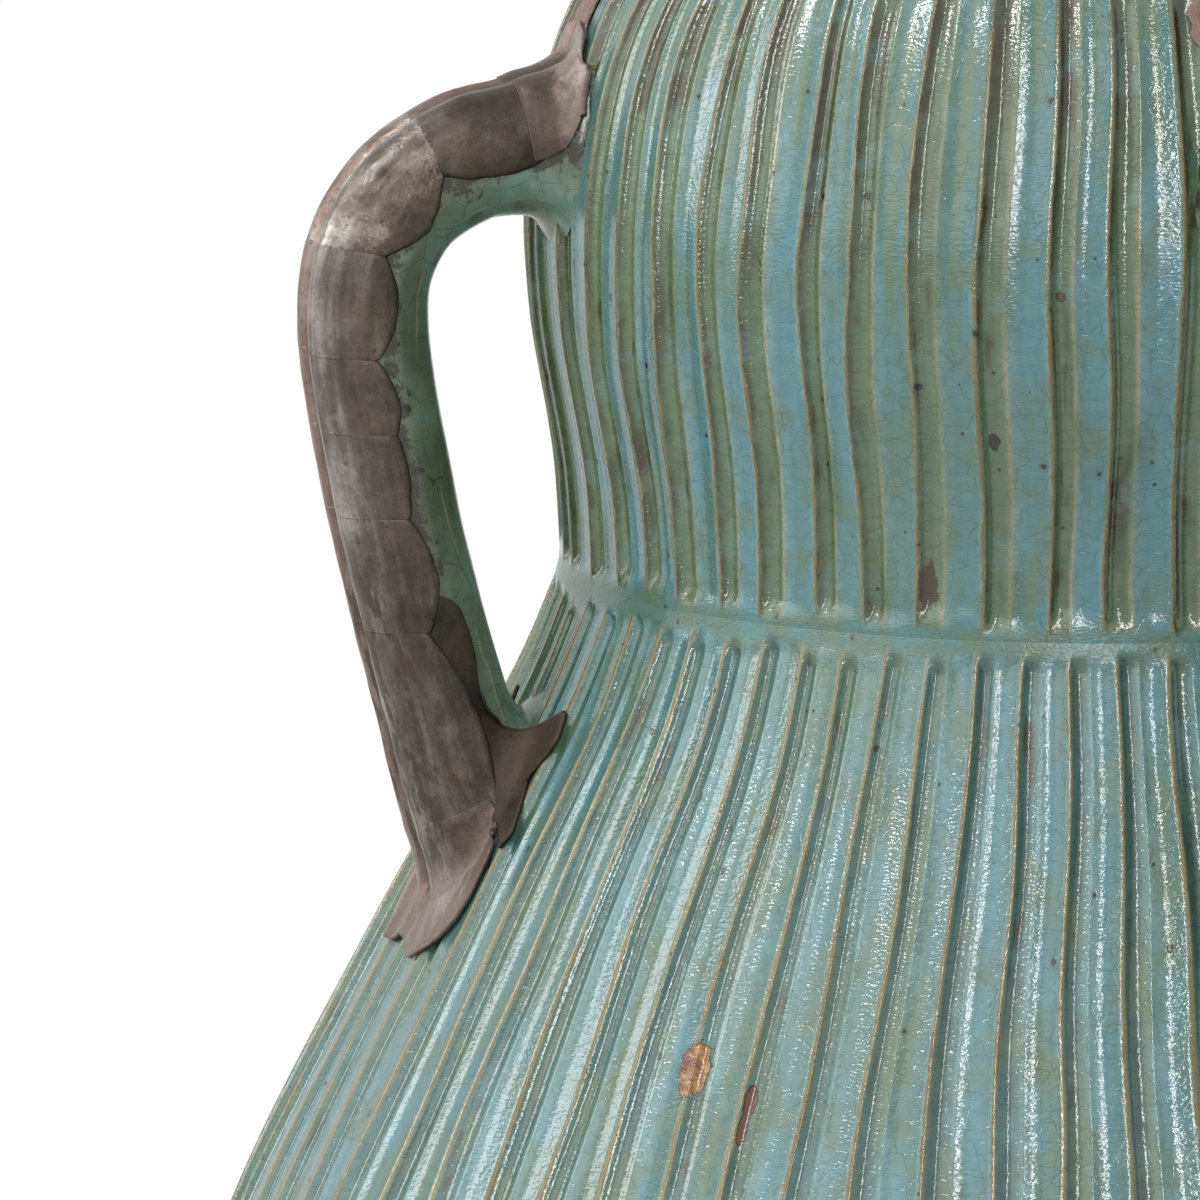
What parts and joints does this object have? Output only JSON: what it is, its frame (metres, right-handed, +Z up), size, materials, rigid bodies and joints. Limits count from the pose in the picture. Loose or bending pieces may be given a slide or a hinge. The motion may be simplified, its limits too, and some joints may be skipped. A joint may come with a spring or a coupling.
{
  "type": "martaban jar",
  "caption": "Tall ribbed storage jar of turquoise glazed stoneware with a waisted bulb, a rolled mouth and loop handles clad in aged metal sheets.",
  "frame": {"origin": "middle of the base, on the surface that the jar stands on", "axes": "+Z up along the jar's axis; the loop handles stand on +X, +Y, -X and -Y"},
  "size_m": [0.49, 0.49, 0.742],
  "materials": {
    "turquoise_glaze": "gloss",
    "green_glaze": "gloss",
    "aged_metal": "satin",
    "brown_metal": "satin"
  },
  "bodies": {
    "root": {"lower_body": "turquoise_glaze", "neck_bulb": "turquoise_glaze", "mouth_rim": "turquoise_glaze", "right_handle": "green_glaze", "right_arch_sheet": "aged_metal", "right_bend_sheet": "aged_metal", "right_grip_sheet_1": "aged_metal", "right_grip_sheet_2": "aged_metal", "right_grip_sheet_3": "aged_metal", "right_grip_sheet_4": "aged_metal", "right_foot_sheet": "aged_metal", "right_top_strip": "aged_metal", "right_top_leaf": "aged_metal", "right_foot_leaf": "aged_metal", "right_root_patch": "brown_metal", "back_handle": "green_glaze", "back_arch_sheet": "aged_metal", "back_bend_sheet": "aged_metal", "back_grip_sheet_1": "aged_metal", "back_grip_sheet_2": "aged_metal", "back_grip_sheet_3": "aged_metal", "back_grip_sheet_4": "aged_metal", "back_foot_sheet": "aged_metal", "back_top_strip": "aged_metal", "back_top_leaf": "aged_metal", "back_foot_leaf": "aged_metal", "back_root_patch": "brown_metal", "left_handle": "green_glaze", "left_arch_sheet": "aged_metal", "left_bend_sheet": "aged_metal", "left_grip_sheet_1": "aged_metal", "left_grip_sheet_2": "aged_metal", "left_grip_sheet_3": "aged_metal", "left_grip_sheet_4": "aged_metal", "left_foot_sheet": "aged_metal", "left_top_strip": "aged_metal", "left_top_leaf": "aged_metal", "left_foot_leaf": "aged_metal", "left_root_patch": "brown_metal", "front_handle": "green_glaze", "front_arch_sheet": "aged_metal", "front_bend_sheet": "aged_metal", "front_grip_sheet_1": "aged_metal", "front_grip_sheet_2": "aged_metal", "front_grip_sheet_3": "aged_metal", "front_grip_sheet_4": "aged_metal", "front_foot_sheet": "aged_metal", "front_top_strip": "aged_metal", "front_top_leaf": "aged_metal", "front_foot_leaf": "aged_metal", "front_root_patch": "brown_metal"}
  },
  "joints": []
}
